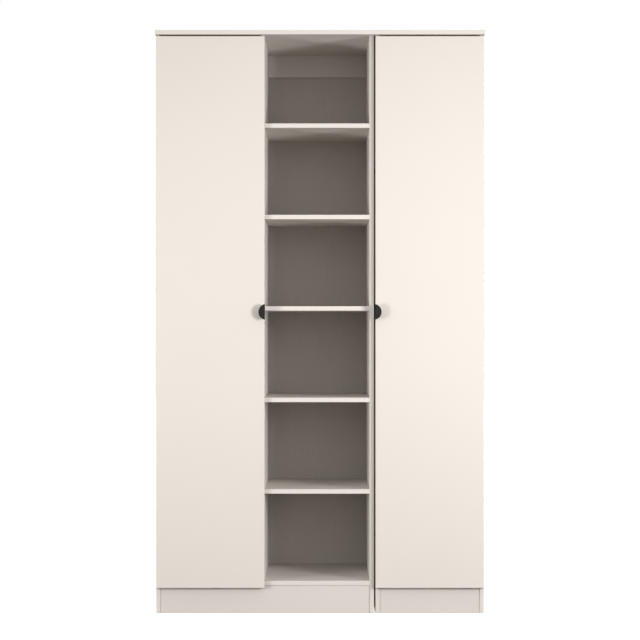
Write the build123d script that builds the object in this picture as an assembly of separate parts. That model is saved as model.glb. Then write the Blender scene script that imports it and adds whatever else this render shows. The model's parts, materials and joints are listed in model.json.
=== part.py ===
from build123d import *
from collections import defaultdict
import os

# Triple wardrobe made of two carcases that stand side by side and are screwed together.
# The double carcase has a hanging bay behind the left door and an open bay of six compartments.
# The single carcase is a hanging bay behind the right door. Units are millimetres.
# Frame: X to the right, Y to the back, Z up, origin at the middle of the footprint on the floor.

os.makedirs("parts", exist_ok=True)

# Whole wardrobe
HEIGHT = 1965.0
DEPTH = 551.0                  # from the handle fronts to the rear edges
TOP_DEPTH = 530.0
DOUBLE_TOP_WIDTH = 739.5
SINGLE_TOP_WIDTH = 370.5
TOP_OVERHANG = 2.5             # each top past the sides of its carcase
BOARD = 15.0                   # melamine-faced board
EDGE = 0.8                     # broken edge on every board
HOLE_CLEARANCE = 0.05

# Dowels, 8 x 25 mm: from the face of one board into the end of another
DOWEL_RADIUS = 4.0
DOWEL_IN_FACE = 6.5
DOWEL_IN_END = 18.5
DOWEL_ROWS = (-170.0, 15.0, 200.0)

# Screws: shank radius, length under the head, head radius, head height
LINKING_SCREW = (2.0, 31.0, 3.8, 1.8)
SOCKET_SCREW = (1.7, 14.0, 3.6, 1.8)
HANDLE_SCREW = (2.0, 32.0, 4.5, 1.6)
CUP_SCREW = (1.7, 13.0, 3.6, 1.4)
ARM_SCREW = (2.1, 15.0, 3.8, 1.8)
PLATE_SCREW = (2.4, 13.0, 4.4, 2.0)
BLIND_CLEARANCE = 0.5          # a blind hole is this much deeper than what it holds

# Doors
DOOR_WIDTH = 365.0
DOOR_HEIGHT = 1857.0
DOOR_BOARD = 18.0
DOOR_EDGE = 2.0                # rounded door edges
DOOR_BOTTOM = 88.0
DOOR_REVEAL = 1.0              # outer carcase side left uncovered by the door
DOOR_SETBACK = 4.0             # door front behind the front edge of the tops
BUMPER_GAP = 2.0               # between a closed door and the carcase
BUMPER_RADIUS = 4.5
BUMPER_HEIGHTS = (150.0, 1885.0)

# Carcases
OPEN_BAY_WIDTH = 354.0
PLINTH_HEIGHT = 95.0
PLINTH_SETBACK = 2.5
PLINTH_GAP = 0.4               # open joint round a plinth
BACK_BOARD = 3.0
BACK_INSET = 15.0              # front face of the back ahead of the rear edges
GROOVE_DEPTH = 7.0
GROOVE_WIDTH = 3.2
RAIL_BOARD_HEIGHT = 80.0       # rear rails under the tops
OPEN_SHELVES = 5
SHELF_PITCH = 308.6            # from the top of the base to the top of each shelf in turn
SHELF_SETBACK = 1.0
HAT_SHELF_TOP = 1655.0
HAT_SHELF_FRONT = -190.0
HAT_SHELF_GAP = 0.5            # each end of a loose hat shelf
PEG_RADIUS = 2.5
PEG_LENGTH_OUT = 8.0
PEG_ROWS = (-170.0, 210.0)
LINKING_SCREW_ROWS = (-140.0, 180.0)
LINKING_SCREW_HEIGHTS = (260.0, 1500.0)
SPACER_RADIUS = 10.0
WALL_HOLE_RADIUS = 2.5
WALL_HOLE_SPACING = 256.0

# Hanging rails
TUBE_RADIUS = 12.5
TUBE_WALL = 1.0
TUBE_HEIGHT = 1590.0
TUBE_Y = 15.0
SOCKET_PLATE = 3.0             # thickness
SOCKET_PLATE_WIDTH = 32.0
SOCKET_PLATE_HEIGHT = 64.0
SOCKET_COLLAR_WALL = 3.0
SOCKET_COLLAR_LENGTH = 12.0
SOCKET_SCREW_OFFSET = 24.0     # above and below the tube

# Handles: a half-moon cut from a disc, flat side on the opening edge of the door
HANDLE_CHORD = 53.0
HANDLE_REACH = 22.0            # from the flat side to the crown of the arc
HANDLE_OVERHANG = 2.0          # flat side past the opening edge of the door
HANDLE_PROJECTION = 25.0
HANDLE_TAPER = 8.0             # degrees, narrowing towards the door
HANDLE_RIM = 2.4
HANDLE_DISH = 1.6
HANDLE_SCREW_SPACING = 32.0
HANDLE_SCREW_INSET = 8.5       # from the opening edge of the door

# Cup hinges, four on each door. Their own frame has x from the inner face of the carcase side
# into the bay, y from the inner face of the closed door towards the back, z along the hinge edge.
HINGE_HEIGHTS = (190.0, 742.0, 1293.0, 1845.0)
CUP_CENTRE = 6.5
CUP_RADIUS = 17.4
CUP_DEPTH = 11.5
CUP_WALL = 1.1
CUP_PLATE = 1.0
CUP_PLATE_SPAN = (-9.8, 22.8)
CUP_SCREW_X = 12.5
CUP_SCREW_Z = 24.0
LINK_PIVOT = (20.0, 6.0)       # pin that the link turns on, at the nose of the arm
LINK_ELBOW = (1.4, -9.0)
LINK_TIP = (-5.2, -5.5)
LINK_WIDTH = 9.6
LINK_THICKNESS = 1.6
PIN_RADIUS = 1.25
ARM_INNER = 5.4                # half the distance between the cheeks of an arm
ARM_WALL = 1.2
ARM_BACK = 17.2                # x of the arm's web, which its screws go through
ARM_SCREW_ROWS = (27.0, 56.0)
PLATE_RAIL = 9.0               # height of the mounting plate's rail off the carcase side
PLATE_WING = 2.0
PLATE_SCREW_Y = 39.0           # 37 mm behind the front edge of the carcase side
PLATE_SCREW_Z = 16.0

# Levels and planes that follow from the sizes above
x_left = -(DOUBLE_TOP_WIDTH + SINGLE_TOP_WIDTH) / 2
x_seam = x_left + DOUBLE_TOP_WIDTH
x_right = x_seam + SINGLE_TOP_WIDTH
y_back = DEPTH / 2
y_top_front = y_back - TOP_DEPTH
y_door_front = y_top_front + DOOR_SETBACK
y_door_back = y_door_front + DOOR_BOARD
y_front = y_door_back + BUMPER_GAP
y_lining = y_back - BACK_INSET
z_under_top = HEIGHT - BOARD
z_base = PLINTH_HEIGHT + BOARD

UPRIGHT_STARTS = {
    "left_side": x_left + TOP_OVERHANG,
    "centre_partition": x_seam - TOP_OVERHANG - 2 * BOARD - OPEN_BAY_WIDTH,
    "middle_side": x_seam - TOP_OVERHANG - BOARD,
    "single_left_side": x_seam + TOP_OVERHANG,
    "single_right_side": x_right - TOP_OVERHANG - BOARD,
}

boards = {}                    # node name to board solid
cuts = defaultdict(list)       # node name to the solids taken out of that board
hardware = defaultdict(list)   # node name to its separate solids


def slab(x_span, y_span, z_span, edge=0):
    """A board between two corners, with its edges rounded by edge."""
    spans = (x_span, y_span, z_span)
    middle = [(low + high) / 2 for low, high in spans]
    board = Pos(*middle) * Box(*[high - low for low, high in spans])
    return fillet(board.edges(), edge) if edge else board


def rod(point, axis, radius, start, end):
    """A round bar along axis, between two distances from the point."""
    bar = Pos(0, 0, (start + end) / 2) * Cylinder(radius, end - start)
    return Plane(origin=point, z_dir=axis) * bar


def add_hardware(name, *shapes):
    for shape in shapes:
        hardware[name].extend(shape.solids())


def add_dowel(face_board, end_board, point, axis):
    """A hidden dowel across a joint and its two blind holes. Axis points into the end board."""
    add_hardware("dowels", rod(point, axis, DOWEL_RADIUS, -DOWEL_IN_FACE, DOWEL_IN_END))
    start = -DOWEL_IN_FACE - BLIND_CLEARANCE
    end = DOWEL_IN_END + BLIND_CLEARANCE
    hole = rod(point, axis, DOWEL_RADIUS + HOLE_CLEARANCE, start, end)
    cuts[face_board].append(hole)
    cuts[end_board].append(hole)


def screw(seat, axis, size):
    """A pan-head screw with a cross recess. Axis points out of the head, from its seat."""
    shank_radius, length, head_radius, head_height = size
    head = fillet(Cylinder(head_radius, head_height).edges().group_by(Axis.Z)[-1], head_height * 0.45)
    recess_size = (head_radius * 1.1, head_radius * 0.26, head_height * 0.6)
    recess = Box(*recess_size) + Rot(0, 0, 90) * Box(*recess_size)
    shank = Pos(0, 0, -(head_height + length) / 2) * Cylinder(shank_radius, length)
    body = head - Pos(0, 0, head_height * 0.3) * recess + shank
    return Plane(origin=seat, z_dir=axis) * Pos(0, 0, head_height / 2) * body


def screw_hole(seat, axis, size):
    shank_radius, length = size[:2]
    return rod(seat, axis, shank_radius + HOLE_CLEARANCE, -length - BLIND_CLEARANCE, 1.0)


def span_of(upright):
    """The two faces of an upright, left then right."""
    start = UPRIGHT_STARTS[upright]
    return start, start + BOARD


def inside_of(left, right):
    """The clear width between two uprights."""
    return span_of(left)[1], span_of(right)[0]


def add_dowels_between(board, left, right, y, z):
    """Dowels at both ends of a board that lies between two uprights."""
    add_dowel(left, board, (span_of(left)[1], y, z), (1, 0, 0))
    add_dowel(right, board, (span_of(right)[0], y, z), (-1, 0, 0))


# Uprights and tops
for name in UPRIGHT_STARTS:
    partition = name == "centre_partition"
    rear = y_lining if partition else y_back
    bottom = z_base if partition else 0.0
    boards[name] = slab(span_of(name), (y_front, rear), (bottom, z_under_top), EDGE)

TOPS = {
    "double_top": (x_left, x_seam),
    "single_top": (x_seam, x_right),
}
for name, x_span in TOPS.items():
    boards[name] = slab(x_span, (y_top_front, y_back), (z_under_top, HEIGHT), EDGE)

for name in UPRIGHT_STARTS:
    top = "single_top" if name.startswith("single") else "double_top"
    for y in DOWEL_ROWS:
        add_dowel(top, name, (sum(span_of(name)) / 2, y, z_under_top), (0, 0, -1))

partition_middle = sum(span_of("centre_partition")) / 2
for y in DOWEL_ROWS:
    add_dowel("double_base", "centre_partition", (partition_middle, y, z_base), (0, 0, 1))


def add_base(carcase, left, right):
    """Base board, front and rear plinth and back of one carcase, between its two sides."""
    low, high = inside_of(left, right)
    base = carcase + "_base"
    boards[base] = slab((low, high), (y_front, y_lining), (PLINTH_HEIGHT, z_base), EDGE)
    for y in DOWEL_ROWS:
        add_dowels_between(base, left, right, y, z_base - BOARD / 2)

    plinth_fronts = {
        carcase + "_plinth": y_front + PLINTH_SETBACK,
        carcase + "_rear_plinth": y_lining - 2 * BOARD,
    }
    plinth_x = (low + PLINTH_GAP, high - PLINTH_GAP)
    for plinth, y in plinth_fronts.items():
        boards[plinth] = slab(plinth_x, (y, y + BOARD), (0, PLINTH_HEIGHT - PLINTH_GAP), EDGE)
        add_dowels_between(plinth, left, right, y + BOARD / 2, PLINTH_HEIGHT / 2)

    groove_x = (low - GROOVE_DEPTH, high + GROOVE_DEPTH)
    groove_z = (PLINTH_HEIGHT - 5, z_under_top + GROOVE_DEPTH)
    groove = slab(groove_x, (y_lining, y_lining + GROOVE_WIDTH), groove_z)
    for board in (left, right, carcase + "_top"):
        cuts[board].append(groove)
    slack = (GROOVE_WIDTH - BACK_BOARD) / 2
    boards[carcase + "_back"] = slab(
        (groove_x[0] + 1, groove_x[1] - 1),
        (y_lining + slack, y_lining + slack + BACK_BOARD),
        (PLINTH_HEIGHT - 3, groove_z[1] - 1),
    )


add_base("double", "left_side", "middle_side")
add_base("single", "single_left_side", "single_right_side")

# A brace carries the partition's weight to the floor between the double carcase's two plinths
boards["plinth_brace"] = slab(
    span_of("centre_partition"),
    (y_front + PLINTH_SETBACK + BOARD, y_lining - 2 * BOARD),
    (0, PLINTH_HEIGHT),
    EDGE,
)

BAYS = {
    "left": ("left_side", "centre_partition"),
    "open": ("centre_partition", "middle_side"),
    "right": ("single_left_side", "single_right_side"),
}

# Rear rails under the tops
z_rail = z_under_top - RAIL_BOARD_HEIGHT / 2
for bay, (left, right) in BAYS.items():
    boards[bay + "_rear_rail"] = slab(
        inside_of(left, right),
        (y_lining - BOARD, y_lining),
        (z_under_top - RAIL_BOARD_HEIGHT, z_under_top),
        EDGE,
    )
    add_dowels_between(bay + "_rear_rail", left, right, y_lining - BOARD / 2, z_rail)

# Holes for wall screws, through the rail and the back of each closed bay
for bay, back in (("left", "double_back"), ("right", "single_back")):
    bay_middle = sum(inside_of(*BAYS[bay])) / 2
    for side in (-1, 1):
        point = (bay_middle + side * WALL_HOLE_SPACING / 2, y_lining, z_rail)
        hole = rod(point, (0, 1, 0), WALL_HOLE_RADIUS, -BOARD - 1, BACK_BOARD + 1)
        cuts[bay + "_rear_rail"].append(hole)
        cuts[back].append(hole)

# Five fixed shelves share out the open bay
for index in range(OPEN_SHELVES):
    shelf = f"open_shelf_{index + 1}"
    shelf_top = z_base + (index + 1) * SHELF_PITCH
    boards[shelf] = slab(
        inside_of(*BAYS["open"]),
        (y_front + SHELF_SETBACK, y_lining),
        (shelf_top - BOARD, shelf_top),
        EDGE,
    )
    for y in DOWEL_ROWS:
        add_dowels_between(shelf, *BAYS["open"], y, shelf_top - BOARD / 2)


def add_pegs(bay, underside):
    """Four pegs that a loose shelf lies on, two in each upright of the bay."""
    for upright, x, inward in zip(BAYS[bay], inside_of(*BAYS[bay]), (1, -1)):
        for y in PEG_ROWS:
            point = (x, y, underside - PEG_RADIUS)
            axis = (inward, 0, 0)
            add_hardware("hat_shelf_pegs", rod(point, axis, PEG_RADIUS, -DOWEL_IN_FACE, PEG_LENGTH_OUT))
            hole_end = -DOWEL_IN_FACE - BLIND_CLEARANCE
            cuts[upright].append(rod(point, axis, PEG_RADIUS + HOLE_CLEARANCE, hole_end, 1.0))


def make_socket(x, inward):
    """Plate with a collar that holds one end of a hanging rail, on the upright face at x."""
    centre = (x, TUBE_Y, TUBE_HEIGHT)
    plate = Box(SOCKET_PLATE, SOCKET_PLATE_WIDTH, SOCKET_PLATE_HEIGHT)
    plate = fillet(plate.edges().filter_by(Axis.X), 10)
    plate = Pos(x + inward * SOCKET_PLATE / 2, TUBE_Y, TUBE_HEIGHT) * plate
    collar_end = SOCKET_PLATE + SOCKET_COLLAR_LENGTH
    axis = (inward, 0, 0)
    collar = rod(centre, axis, TUBE_RADIUS + SOCKET_COLLAR_WALL, SOCKET_PLATE, collar_end)
    bore = rod(centre, axis, TUBE_RADIUS + 0.2, SOCKET_PLATE, collar_end + 1)
    return plate + (collar - bore)


# Each closed bay has a loose hat shelf with a hanging rail under it
for bay in ("left", "right"):
    low, high = inside_of(*BAYS[bay])
    boards[bay + "_hat_shelf"] = slab(
        (low + HAT_SHELF_GAP, high - HAT_SHELF_GAP),
        (HAT_SHELF_FRONT, y_lining - 1.0),
        (HAT_SHELF_TOP - BOARD, HAT_SHELF_TOP),
        EDGE,
    )
    add_pegs(bay, HAT_SHELF_TOP - BOARD)

    tube_start = (low + SOCKET_PLATE + 0.5, TUBE_Y, TUBE_HEIGHT)
    tube_length = high - low - 2 * SOCKET_PLATE - 1.0
    bar = rod(tube_start, (1, 0, 0), TUBE_RADIUS, 0, tube_length)
    bore = rod(tube_start, (1, 0, 0), TUBE_RADIUS - TUBE_WALL, -1, tube_length + 1)
    add_hardware(bay + "_hanging_rail", bar - bore)

    for upright, x, inward in zip(BAYS[bay], (low, high), (1, -1)):
        socket = make_socket(x, inward)
        for side in (-1, 1):
            seat = (x + inward * SOCKET_PLATE, TUBE_Y, TUBE_HEIGHT + side * SOCKET_SCREW_OFFSET)
            add_hardware("rail_socket_screws", screw(seat, (inward, 0, 0), SOCKET_SCREW))
            hole = screw_hole(seat, (inward, 0, 0), SOCKET_SCREW)
            socket = socket - hole
            cuts[upright].append(hole)
        add_hardware("rail_sockets", socket)

# Screws hold the two carcases together across a gap kept by spacers
link_start = span_of("single_left_side")[1]
for z in LINKING_SCREW_HEIGHTS:
    for y in LINKING_SCREW_ROWS:
        seat = (link_start, y, z)
        add_hardware("linking_screws", screw(seat, (1, 0, 0), LINKING_SCREW))
        hole = screw_hole(seat, (1, 0, 0), LINKING_SCREW)
        cuts["middle_side"].append(hole)
        cuts["single_left_side"].append(hole)
        spacer = rod(seat, (1, 0, 0), SPACER_RADIUS, -BOARD - 2 * TOP_OVERHANG, -BOARD)
        add_hardware("carcase_spacers", spacer - hole)

# Door bumpers on the front edges that the free edges of the doors close against
for upright in ("centre_partition", "single_left_side"):
    for z in BUMPER_HEIGHTS:
        point = (sum(span_of(upright)) / 2, y_front, z)
        dot = rod(point, (0, -1, 0), BUMPER_RADIUS, 0, BUMPER_GAP - 0.1)
        add_hardware("door_bumpers", fillet(dot.edges().sort_by(Axis.Y)[0], 1.2))

# Left door with its handle and its half of the hinges. The right door is its mirror image.
hinge_x = span_of("left_side")[1]
door_start = span_of("left_side")[0] + DOOR_REVEAL
door_x = (door_start, door_start + DOOR_WIDTH)
door = slab(door_x, (y_door_front, y_door_back), (DOOR_BOTTOM, DOOR_BOTTOM + DOOR_HEIGHT), DOOR_EDGE)
handle_z = DOOR_BOTTOM + DOOR_HEIGHT / 2
left_side_cuts = []
left_nodes = defaultdict(list)


def add_left(name, *shapes):
    for shape in shapes:
        left_nodes[name].extend(shape.solids())


def half_moon(inset):
    """Outline of the handle, drawn from its flat side at x = 0 towards -x, shrunk by inset."""
    radius = (HANDLE_REACH ** 2 + (HANDLE_CHORD / 2) ** 2) / (2 * HANDLE_REACH)
    disc = Pos(radius - HANDLE_REACH, 0) * Circle(radius - inset)
    keep = Pos(-inset - HANDLE_CHORD / 2, 0) * Rectangle(HANDLE_CHORD, 2 * HANDLE_CHORD)
    return disc & keep


def make_handle():
    """Solid half-moon pull with a shallow dish in its face, narrower at the door."""
    body = extrude(half_moon(0), HANDLE_PROJECTION, taper=HANDLE_TAPER)
    face = body.faces().sort_by(Axis.Z)[0]
    body = fillet(face.edges(), 1.0)
    dish = extrude(half_moon(HANDLE_RIM), HANDLE_DISH, taper=40)
    return body - dish


handle_corner = (door_x[1] + HANDLE_OVERHANG, y_door_front - HANDLE_PROJECTION, handle_z)
handle = Plane(origin=handle_corner, x_dir=(1, 0, 0), z_dir=(0, 1, 0)) * make_handle()
for side in (-1, 1):
    seat = (door_x[1] - HANDLE_SCREW_INSET, y_door_back, handle_z + side * HANDLE_SCREW_SPACING / 2)
    add_left("handle_screws", screw(seat, (0, 1, 0), HANDLE_SCREW))
    hole = screw_hole(seat, (0, 1, 0), HANDLE_SCREW)
    door = door - hole
    handle = handle - hole
add_left("handle", handle)


def hinge_point(local, height):
    return hinge_x + local[0], y_door_back + local[1], height


def flat_bar(start, end, height):
    """A flat link between two points of the hinge frame, as wide as LINK_WIDTH along z."""
    first = Vector(*hinge_point(start, height))
    second = Vector(*hinge_point(end, height))
    along = second - first
    plane = Plane(origin=(first + second) * 0.5, x_dir=along, z_dir=(0, 0, 1))
    return plane * Box(along.length, LINK_THICKNESS, LINK_WIDTH)


def upright_rod(local, height, radius, half_width):
    return rod(hinge_point(local, height), (0, 0, 1), radius, -half_width, half_width)


def make_cup(height):
    """Hinge cup with its screw plate, sunk in the inner face of the door."""
    rim = hinge_point((CUP_CENTRE, 0), height)
    bowl = rod(rim, (0, 1, 0), CUP_RADIUS, -CUP_DEPTH, 0)
    x_span = [hinge_x + x for x in CUP_PLATE_SPAN]
    y_span = (y_door_back, y_door_back + CUP_PLATE)
    plate = slab(x_span, y_span, (height - 19, height + 19))
    wing_x = (hinge_x + CUP_SCREW_X - 6.5, hinge_x + CUP_SCREW_X + 6.5)
    plate = plate + slab(wing_x, y_span, (height - 30, height + 30))
    plate = fillet(plate.edges().filter_by(Axis.Y), 1.8)
    hollow = rod(rim, (0, 1, 0), CUP_RADIUS - CUP_WALL, CUP_WALL - CUP_DEPTH, CUP_PLATE + 1)
    return bowl + plate - hollow


def make_link(height):
    """Cranked link: a barrel on the arm's pin, an elbow in the cup and a rolled tip."""
    half = LINK_WIDTH / 2
    shape = flat_bar(LINK_PIVOT, LINK_ELBOW, height) + flat_bar(LINK_ELBOW, LINK_TIP, height)
    shape = shape + upright_rod(LINK_ELBOW, height, LINK_THICKNESS / 2, half)
    shape = shape + upright_rod(LINK_TIP, height, 1.8, half) + upright_rod(LINK_PIVOT, height, 2.7, half)
    return shape - upright_rod(LINK_PIVOT, height, PIN_RADIUS + HOLE_CLEARANCE, half + 1)


CHEEK_OUTLINE = (
    (5.5, 22.0),
    (5.5, 66.0),
    (ARM_BACK, 66.0),
    (ARM_BACK, 14.0),
    (23.4, 9.5),
    (23.4, 2.8),
    (17.0, 2.8),
    (12.0, 10.0),
)


def make_arm(height):
    """Pressed channel: two cheeks that hold the link's pin at the nose, and a web."""
    corners = [hinge_point(corner, 0)[:2] for corner in CHEEK_OUTLINE]
    outline = fillet(Polygon(*corners, align=None).vertices(), 1.5)
    channel = None
    for low in (-ARM_INNER - ARM_WALL, ARM_INNER):
        cheek = Pos(0, 0, height + low) * extrude(outline, ARM_WALL, dir=(0, 0, 1))
        channel = cheek if channel is None else channel + cheek
    web_x = (hinge_x + ARM_BACK - ARM_WALL, hinge_x + ARM_BACK)
    web = slab(web_x, (y_door_back + 18, y_door_back + 64), (height - ARM_INNER, height + ARM_INNER))
    for y in ARM_SCREW_ROWS:
        web = web - screw_hole(hinge_point((ARM_BACK, y), height), (1, 0, 0), ARM_SCREW)
    return channel + web - upright_rod(LINK_PIVOT, height, PIN_RADIUS, ARM_INNER + ARM_WALL + 1)


def make_mounting_plate(height):
    """Cruciform plate on the carcase side, with the rail that the arm is screwed to."""
    wings = slab(
        (hinge_x, hinge_x + PLATE_WING),
        (y_door_back + PLATE_SCREW_Y - 8, y_door_back + PLATE_SCREW_Y + 8),
        (height - 24, height + 24),
    )
    wings = fillet(wings.edges().filter_by(Axis.X), 4.0)
    rail = slab(
        (hinge_x, hinge_x + PLATE_RAIL),
        (y_door_back + 22, y_door_back + 66),
        (height - ARM_INNER + 0.2, height + ARM_INNER - 0.2),
    )
    plate = wings + fillet(rail.edges().filter_by(Axis.X), 2.0)
    for y in ARM_SCREW_ROWS:
        plate = plate - screw_hole(hinge_point((ARM_BACK, y), height), (1, 0, 0), ARM_SCREW)
    return plate


for height in HINGE_HEIGHTS:
    cup = make_cup(height)
    cup_bore_depth = CUP_DEPTH + BLIND_CLEARANCE
    cup_mouth = hinge_point((CUP_CENTRE, 0), height)
    door = door - rod(cup_mouth, (0, 1, 0), CUP_RADIUS + 0.1, -cup_bore_depth, 1)
    for side in (-1, 1):
        seat = hinge_point((CUP_SCREW_X, CUP_PLATE), height + side * CUP_SCREW_Z)
        add_left("cup_screws", screw(seat, (0, 1, 0), CUP_SCREW))
        hole = screw_hole(seat, (0, 1, 0), CUP_SCREW)
        cup = cup - hole
        door = door - hole
    add_left("hinge_cups", cup)
    add_left("hinge_links", make_link(height))
    pin = upright_rod(LINK_PIVOT, height, PIN_RADIUS, ARM_INNER + ARM_WALL)
    add_left("hinge_pins", pin)
    add_left("hinge_arms", make_arm(height))
    for y in ARM_SCREW_ROWS:
        add_left("arm_screws", screw(hinge_point((ARM_BACK, y), height), (1, 0, 0), ARM_SCREW))
    plate = make_mounting_plate(height)
    for side in (-1, 1):
        seat = hinge_point((PLATE_WING, PLATE_SCREW_Y), height + side * PLATE_SCREW_Z)
        add_left("plate_screws", screw(seat, (1, 0, 0), PLATE_SCREW))
        hole = screw_hole(seat, (1, 0, 0), PLATE_SCREW)
        plate = plate - hole
        left_side_cuts.append(hole)
    add_left("mounting_plates", plate)
add_left("door", door)

cuts["left_side"] += left_side_cuts
cuts["single_right_side"] += [mirror(cut, about=Plane.YZ) for cut in left_side_cuts]
for node, solids in left_nodes.items():
    add_hardware("left_" + node, *solids)
    add_hardware("right_" + node, *[mirror(solid, about=Plane.YZ) for solid in solids])

for node, board in boards.items():
    finished = board - cuts[node] if cuts[node] else board
    add_hardware(node, finished)

for node, solids in hardware.items():
    export_step(solids[0] if len(solids) == 1 else Compound(children=solids), f"parts/{node}.step")
print(len(hardware), "nodes")
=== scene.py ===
import json
import math

import bpy
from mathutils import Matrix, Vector


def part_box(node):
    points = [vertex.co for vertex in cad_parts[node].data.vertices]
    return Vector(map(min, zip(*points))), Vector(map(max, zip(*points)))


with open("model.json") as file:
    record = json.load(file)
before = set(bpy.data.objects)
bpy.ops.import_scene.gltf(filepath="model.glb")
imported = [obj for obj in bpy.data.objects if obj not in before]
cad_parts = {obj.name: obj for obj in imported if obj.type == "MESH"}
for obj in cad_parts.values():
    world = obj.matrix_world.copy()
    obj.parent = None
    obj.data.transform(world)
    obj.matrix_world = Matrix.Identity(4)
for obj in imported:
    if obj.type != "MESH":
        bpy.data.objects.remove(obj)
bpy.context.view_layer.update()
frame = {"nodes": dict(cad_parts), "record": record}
nodes = frame["nodes"]
scene = bpy.context.scene
top_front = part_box("double_top")[0].y          # plane of the front edges of the tops


# Materials: noise scales are in features per metre, and depths in metres -------------------------

def linear(red, green, blue):
    """A colour given as 0 to 255 display values, as a linear RGBA colour."""
    def channel(value):
        value /= 255
        return value / 12.92 if value <= 0.04045 else ((value + 0.055) / 1.055) ** 2.4
    return (channel(red), channel(green), channel(blue), 1.0)


# Pairs of colours are a lighter and a darker tone of one surface
DOOR_FOIL = (linear(216, 208.5, 200), linear(214, 206.5, 198))
BOARD_FACE = (linear(215, 209, 203), linear(213, 206.5, 200))
# The plinths' pair is the board face made darker: painted shade for the weaker light near the floor, not a
# different board
PLINTH_PAINTED_SHADE = (linear(212, 203, 196.5), linear(210, 200.5, 194))
TAUPE_PRINT = (linear(193, 187.5, 181), linear(187, 181.5, 175))
BARE_HARDBOARD = (linear(180, 141, 102), linear(146, 108, 74))
CHIPS = (linear(190, 160, 120), linear(150, 118, 82))
BLACK_COAT = (linear(31, 28, 25), linear(24, 21, 18.5))
NICKEL = (linear(200, 196, 190), linear(170, 165, 158))
ZINC = (linear(205, 203, 198), linear(160, 156, 148))
CHROME = (linear(222, 222, 222), linear(205, 206, 208))
BEECH = (linear(214, 176, 128), linear(178, 134, 86))
CLEAR_PLASTIC = (linear(232, 232, 228), linear(214, 214, 208))
BLACK_PLASTIC = (linear(34, 33, 32), linear(24, 24, 24))
EDGING = linear(214, 207.5, 199.5)
GLUE_LINE = linear(176, 164, 150)
RUBBED_COAT = linear(52, 51, 50)

EDGING_THICKNESS = 0.0008
GLUE_LINE_HALF_WIDTH = 0.00018
SAWN_FOOT = (0.0006, 0.0003)   # heights between which a side's foot turns to sawn chipboard
NOISE_SPAN = (0.3, 0.7)        # values that nearly all of a noise lies between
PATCH_SPAN = (0.35, 0.65)      # a narrower span, for more contrast
FIBRE_SPAN = (0.36, 0.64)
FACING_SPAN = (0.6, 0.9)       # a normal's share along an axis, from not facing it to facing it


class Surface:
    """A material being put together from nodes, around one Principled shader."""

    def __init__(self, name):
        self.material = bpy.data.materials.new(name)
        self.material.use_nodes = True
        self.tree = self.material.node_tree
        self.shader = self.tree.nodes["Principled BSDF"]
        self.place = self.add("TexCoord").outputs["Object"]
        self.geometry = self.add("NewGeometry").outputs

    def add(self, kind, inputs=None, **settings):
        node = self.tree.nodes.new("ShaderNode" + kind)
        for key, value in settings.items():
            setattr(node, key, value)
        for key, value in (inputs or {}).items():
            self.feed(node.inputs[key], value)
        return node

    def feed(self, socket, value):
        if isinstance(value, bpy.types.NodeSocket):
            self.tree.links.new(value, socket)
        else:
            socket.default_value = value

    def set(self, **values):
        """Shader inputs by name, with underscores for spaces."""
        for key, value in values.items():
            self.feed(self.shader.inputs[key.replace("_", " ")], value)

    def stretched(self, x, y, z):
        return self.add("Mapping", {"Vector": self.place, "Scale": (x, y, z)}).outputs["Vector"]

    def noise(self, scale, detail=2.0, roughness=0.5, vector=None):
        inputs = {"Vector": vector or self.place, "Scale": scale, "Detail": detail, "Roughness": roughness}
        return self.add("TexNoise", inputs).outputs["Fac"]

    def ramp(self, value, span, low=0.0, high=1.0):
        """Low to high as the value crosses the span."""
        inputs = {"Value": value, 1: span[0], 2: span[1], 3: low, 4: high}
        return self.add("MapRange", inputs).outputs["Result"]

    def math(self, operation, first, second=0.0):
        return self.add("Math", {0: first, 1: second}, operation=operation).outputs[0]

    def weighed(self, first, weight, second):
        """Two values added up, by the weight of the first and the rest of 1 for the second."""
        rest = self.math("MULTIPLY", second, 1 - weight)
        return self.math("ADD", self.math("MULTIPLY", first, weight), rest)

    def mix(self, factor, first, second):
        node = self.add("Mix", data_type="RGBA")
        for socket, value in ((node.inputs[0], factor), (node.inputs[6], first), (node.inputs[7], second)):
            self.feed(socket, value)
        return node.outputs[2]

    def toned(self, colours, value, span):
        """From the darker to the lighter colour as the value crosses the span."""
        lighter, darker = colours
        return self.mix(self.ramp(value, span), darker, lighter)

    def along(self, vector, axis):
        return self.add("SeparateXYZ", {0: vector}).outputs[axis]

    def facing(self, axis, sign):
        """1 on the faces that look along an axis, 0 on the others."""
        share = self.math("MULTIPLY", self.along(self.geometry["Normal"], axis), sign)
        return self.ramp(share, FACING_SPAN)

    def line_at(self, axis, centre, half_width):
        """1 in a thin line at one place on an axis, 0 elsewhere."""
        away = self.math("ABSOLUTE", self.math("SUBTRACT", self.along(self.place, axis), centre))
        return self.ramp(away, (half_width, half_width * 0.6))

    def roughen(self, noise, smoothest, roughest):
        self.set(Roughness=self.ramp(noise, NOISE_SPAN, smoothest, roughest))

    def bump(self, height, distance, strength, under=None):
        """A bump of the shader's normal, over an earlier one if given."""
        node = self.add("Bump", {"Height": height, "Distance": distance, "Strength": strength})
        if under is not None:
            self.feed(node.inputs["Normal"], under)
        self.set(Normal=node.outputs["Normal"])
        return node.outputs["Normal"]


def chipboard(surface):
    """Colour of a sawn chipboard edge: pressed flakes in two browns."""
    lighter, darker = CHIPS
    flakes = surface.add("TexVoronoi", {"Vector": surface.stretched(1, 1, 2.5), "Scale": 420.0})
    tone = surface.math("MULTIPLY", surface.along(flakes.outputs["Color"], "X"), 0.9)
    return surface.mix(tone, darker, lighter)


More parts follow.
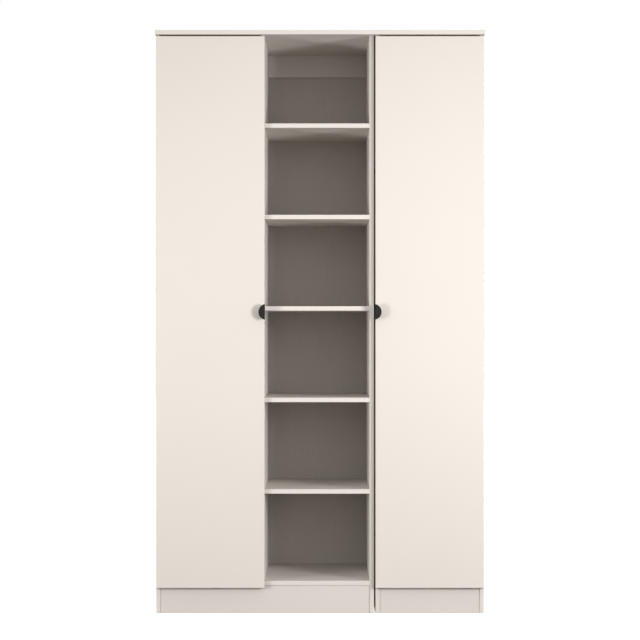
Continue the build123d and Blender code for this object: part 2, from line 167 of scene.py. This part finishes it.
def board_material(name, colours, edged_at=None):
    """Melamine-faced chipboard. With edging on its front plane, it is bare behind and at its foot."""
    board = Surface(name)
    patches = board.noise(1.7, 3.0)
    pearl = board.noise(2600.0, 2.0, 0.6)
    colour = board.toned(colours, patches, PATCH_SPAN)
    if edged_at is not None:
        colour = board.mix(board.facing("Y", -1.0), colour, EDGING)
        joint = board.line_at("Y", edged_at + EDGING_THICKNESS, GLUE_LINE_HALF_WIDTH)
        colour = board.mix(board.math("MULTIPLY", joint, 0.8), colour, GLUE_LINE)
        foot = board.ramp(board.along(board.place, "Z"), SAWN_FOOT)
        bare = board.math("MAXIMUM", board.facing("Y", 1.0), foot)
        colour = board.mix(bare, colour, chipboard(board))
    board.set(Base_Color=colour, Specular_IOR_Level=0.42)
    board.roughen(pearl, 0.46, 0.58)
    fine = board.bump(pearl, 0.00003, 0.35)
    board.bump(board.noise(30.0, 1.0), 0.0002, 0.08, under=fine)
    return board.material


def door_material():
    """Foil-wrapped fibreboard: satin-matt, with a barely visible orange-peel."""
    door = Surface("cashmere_door_foil")
    patches = door.noise(1.3, 3.0)
    grit = door.noise(1900.0, 2.0, 0.6)
    peel = door.noise(120.0, 2.0)
    door.set(Base_Color=door.toned(DOOR_FOIL, patches, PATCH_SPAN), Specular_IOR_Level=0.40)
    door.roughen(grit, 0.50, 0.62)
    fine = door.bump(grit, 0.00002, 0.3)
    door.bump(peel, 0.00012, 0.12, under=fine)
    return door.material


def back_material():
    """Hardboard back: taupe print with a faint upright grain in front, bare brown board behind."""
    back = Surface("taupe_back_board")
    grain = back.noise(1.0, 4.0, 0.65, back.stretched(260, 260, 9))
    fibres = back.noise(1.0, 3.0, 0.6, back.stretched(1100, 1100, 60))
    print_grain = back.weighed(grain, 0.6, fibres)
    rear_clouds = back.weighed(back.noise(520.0, 3.0, 0.7), 0.7, back.noise(16.0, 5.0, 0.6))
    front_colour = back.toned(TAUPE_PRINT, print_grain, FIBRE_SPAN)
    rear_colour = back.toned(BARE_HARDBOARD, rear_clouds, FIBRE_SPAN)
    rear = back.facing("Y", 1.0)
    back.set(Base_Color=back.mix(rear, front_colour, rear_colour))
    back.set(Roughness=back.ramp(rear, (0.0, 1.0), 0.55, 0.8))
    back.bump(print_grain, 0.00006, 0.5)
    return back.material


def metal_material(name, colours, roughness, grain=(400, 400, 400)):
    """Plated or polished metal with fine streaks along its rolling direction."""
    metal = Surface(name)
    streaks = metal.noise(1.0, 3.0, 0.6, metal.stretched(*grain))
    clouds = metal.ramp(metal.noise(60.0, 3.0), NOISE_SPAN, 0.0, 0.6)
    metal.set(Base_Color=metal.mix(clouds, *colours), Metallic=1.0)
    metal.roughen(streaks, roughness * 0.75, roughness * 1.35)
    metal.bump(streaks, 0.00002, 0.4)
    return metal.material


def handle_material():
    """Cast metal under matt black powder coat: fine texture, rubbed a little lighter on its rim."""
    handle = Surface("black_powder_coat")
    texture = handle.noise(1400.0, 3.0, 0.6)
    waves = handle.noise(160.0, 2.0)
    rubbed = handle.ramp(handle.geometry["Pointiness"], (0.52, 0.60), 0.0, 0.35)
    coat = handle.toned(BLACK_COAT, waves, PATCH_SPAN)
    handle.set(Base_Color=handle.mix(rubbed, coat, RUBBED_COAT), Specular_IOR_Level=0.3)
    handle.roughen(texture, 0.48, 0.68)
    fine = handle.bump(texture, 0.00008, 0.5)
    handle.bump(waves, 0.0004, 0.25, under=fine)
    return handle.material


def plastic_material(name, colours, roughness, transmission=0.0):
    """Moulded plastic with a fine grit, clear where it has some transmission."""
    plastic = Surface(name)
    grit = plastic.noise(900.0, 2.0)
    plastic.set(Base_Color=plastic.toned(colours, grit, NOISE_SPAN), Transmission_Weight=transmission)
    plastic.roughen(grit, roughness * 0.85, roughness * 1.15)
    plastic.bump(grit, 0.00004, 0.3)
    return plastic.material


def beech_material():
    """Raw beech with its grain upright."""
    beech = Surface("beech_dowel")
    grain = beech.noise(1.0, 4.0, 0.6, beech.stretched(900, 900, 40))
    beech.set(Base_Color=beech.toned(BEECH, grain, NOISE_SPAN), Roughness=0.7)
    beech.bump(grain, 0.0001, 0.5)
    return beech.material


SLOT_MATERIALS = {
    "door_board": door_material(),
    "back_board": back_material(),
    "handle_metal": handle_material(),
    "hinge_steel": metal_material("nickel_plate", NICKEL, 0.28, (900, 120, 900)),
    "screw_steel": metal_material("zinc_screw", ZINC, 0.32),
    "rail_chrome": metal_material("chrome_tube", CHROME, 0.08, (30, 1200, 1200)),
    "dowel_wood": beech_material(),
    "bumper_plastic": plastic_material("clear_bumper", CLEAR_PLASTIC, 0.3, 0.6),
    "spacer_plastic": plastic_material("black_spacer", BLACK_PLASTIC, 0.5),
}
board_materials = {}           # the plinths', the rear rails' and one for each plane of front edges


def board_finish(node):
    """The board material for a node. Plinths and rear rails show a face to the front, not an edge."""
    colours, edged_at = BOARD_FACE, None
    if "plinth" in node:
        # Plinths take the darker pair, which is painted shade for the weaker light near the floor
        kind, colours = "plinth", PLINTH_PAINTED_SHADE
    elif "rear_rail" in node:
        kind = "rail"
    else:
        edged_at = round(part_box(node)[0].y, 4)
        kind = f"board_{edged_at * -10000:.0f}"
    if kind not in board_materials:
        board_materials[kind] = board_material(f"cashmere_{kind}", colours, edged_at)
    return board_materials[kind]


for subpart in frame["record"]["subparts"]:
    node, slot = subpart["node"], subpart["material_slot"]
    finish = board_finish(node) if slot == "carcase_board" else SLOT_MATERIALS[slot]
    nodes[node].data.materials.clear()
    nodes[node].data.materials.append(finish)


# Camera ------------------------------------------------------------------------------------------

VIEW_DISTANCE = 6.5            # from the camera to the front edges of the tops
VIEW_HEIGHT = 0.9893           # level that the middle of the picture shows there
CAMERA_HEIGHT = 0.958
LENS = 108.8
SENSOR_WIDTH = 36.0


def look_at(item, target):
    item.rotation_euler = (Vector(target) - item.location).to_track_quat("-Z", "Y").to_euler()


camera = bpy.data.objects.new("camera", bpy.data.cameras.new("camera"))
camera.location = (0.0, top_front - VIEW_DISTANCE, CAMERA_HEIGHT)
camera.data.lens = LENS
camera.data.sensor_width = SENSOR_WIDTH
scene.collection.objects.link(camera)
look_at(camera, (0.0, top_front, VIEW_HEIGHT))
scene.camera = camera


# Lights and floor --------------------------------------------------------------------------------

SOFTBOX_DISTANCE = 3.6         # from the middle of the footprint
SOFTBOX_SPREAD = math.radians(120)
SOFTBOX_AIM = 1.25             # level on the fronts that both softboxes point at
AMBIENT = 0.845                # world light that falls on the wardrobe; the camera sees plain white
FLOOR_SIZE = 40.0
FLOOR_BOUNCE = 0.02            # share of light that the floor sends back up
FLOOR_TONE = 0.8               # share that the camera sees of it
FLOOR_GLOW = 0.85              # light added for the camera, so that the floor is white


def softbox(name, azimuth, height, size, power):
    """A tall light that faces the wardrobe, azimuth in degrees to the right of the front."""
    light = bpy.data.lights.new(name, "AREA")
    light.shape = "RECTANGLE"
    light.size, light.size_y = size
    light.energy = power
    light.spread = SOFTBOX_SPREAD
    item = bpy.data.objects.new(name, light)
    angle = math.radians(azimuth)
    item.location = (SOFTBOX_DISTANCE * math.sin(angle), -SOFTBOX_DISTANCE * math.cos(angle), height)
    scene.collection.objects.link(item)
    look_at(item, (0.0, top_front, SOFTBOX_AIM))


softbox("softbox_left", azimuth=-47.0, height=0.65, size=(0.7, 0.9), power=24.0)
softbox("softbox_right", azimuth=40.0, height=1.05, size=(0.8, 1.1), power=40.0)

world = bpy.data.worlds.new("studio")
scene.world = world
world.use_nodes = True
background = world.node_tree.nodes["Background"]
ray = world.node_tree.nodes.new("ShaderNodeLightPath")
strength = world.node_tree.nodes.new("ShaderNodeMapRange")
strength.inputs["To Min"].default_value = AMBIENT
strength.inputs["To Max"].default_value = 1.0
world.node_tree.links.new(ray.outputs["Is Camera Ray"], strength.inputs["Value"])
world.node_tree.links.new(strength.outputs["Result"], background.inputs["Strength"])
background.inputs["Color"].default_value = (1.0, 1.0, 1.0, 1.0)


def grey(level):
    return (level, level, level, 1.0)


bpy.ops.mesh.primitive_plane_add(size=FLOOR_SIZE, location=(0.0, 0.0, 0.0))
floor = bpy.context.object
floor.name = "floor"
floor_surface = Surface("studio_floor")
seen = floor_surface.add("LightPath").outputs["Is Camera Ray"]
glow = floor_surface.math("MULTIPLY", seen, FLOOR_GLOW)
floor_surface.set(Base_Color=floor_surface.mix(seen, grey(FLOOR_BOUNCE), grey(FLOOR_TONE)))
floor_surface.set(Emission_Color=grey(1.0), Emission_Strength=glow)
floor_surface.set(Roughness=0.8, Specular_IOR_Level=0.0)
floor.data.materials.append(floor_surface.material)

scene.view_settings.view_transform = "Standard"
